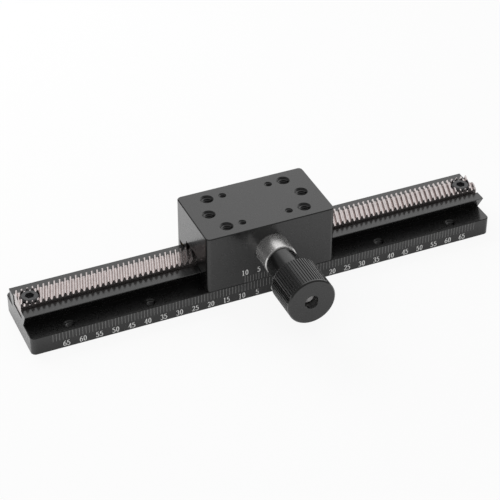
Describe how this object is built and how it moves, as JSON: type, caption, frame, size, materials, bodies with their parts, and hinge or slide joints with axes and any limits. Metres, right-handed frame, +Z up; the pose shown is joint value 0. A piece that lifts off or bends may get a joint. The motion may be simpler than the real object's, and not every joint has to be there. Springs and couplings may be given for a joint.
{
  "type": "dovetail slide",
  "caption": "Manual dovetail slide: a carriage driven along a scaled rail by a knob with a helical rack and pinion.",
  "frame": {"origin": "centre of the rail's underside", "axes": "+X along the slide, -Y towards the knob, +Z up out of the rail's underside"},
  "size_m": [0.15, 0.0518, 0.025],
  "materials": {
    "black_anodised": "satin black anodised",
    "rack_steel": "bright milled, faintly warm",
    "black_screws": "black oxide",
    "gib_brass": "milled",
    "polished_steel": "turned and polished",
    "bearing_bronze": "sintered bronze",
    "washer_steel": "ground",
    "shaft_steel": "ground",
    "pinion_steel": "hobbed"
  },
  "bodies": {
    "base": {"base_rail": "black_anodised", "rack": "rack_steel", "rack_screw_left": "black_screws", "rack_screw_right": "black_screws"},
    "carriage": {"carriage_block": "black_anodised", "gib_strip": "gib_brass", "gib_screw_left": "black_screws", "gib_screw_middle": "black_screws", "gib_screw_right": "black_screws", "pinion_bush": "polished_steel", "bush_set_screw": "black_screws", "front_sleeve_bearing": "bearing_bronze", "rear_sleeve_bearing": "bearing_bronze", "thrust_washer": "washer_steel", "shim_washer": "bearing_bronze"},
    "knob": {"pinion_shaft": "shaft_steel", "pinion": "pinion_steel", "pinion_screw": "black_screws", "knob": "black_anodised", "knob_set_screw": "black_screws", "spring_washer": "washer_steel"}
  },
  "joints": [
    {"name": "carriage_slide", "type": "slide", "parent": "base", "child": "carriage", "axis": [1, 0, 0], "range_m": [-0.054, 0.054]},
    {"name": "knob_turn", "type": "hinge", "parent": "carriage", "child": "knob", "pos_m": [0, 0, 0.01616], "axis": [0, 1, 0], "range_deg": [-745, 745]}
  ],
  "couplings": [
    {"joint": "knob_turn", "follows": "carriage_slide", "rad_per_m": 237.76}
  ]
}
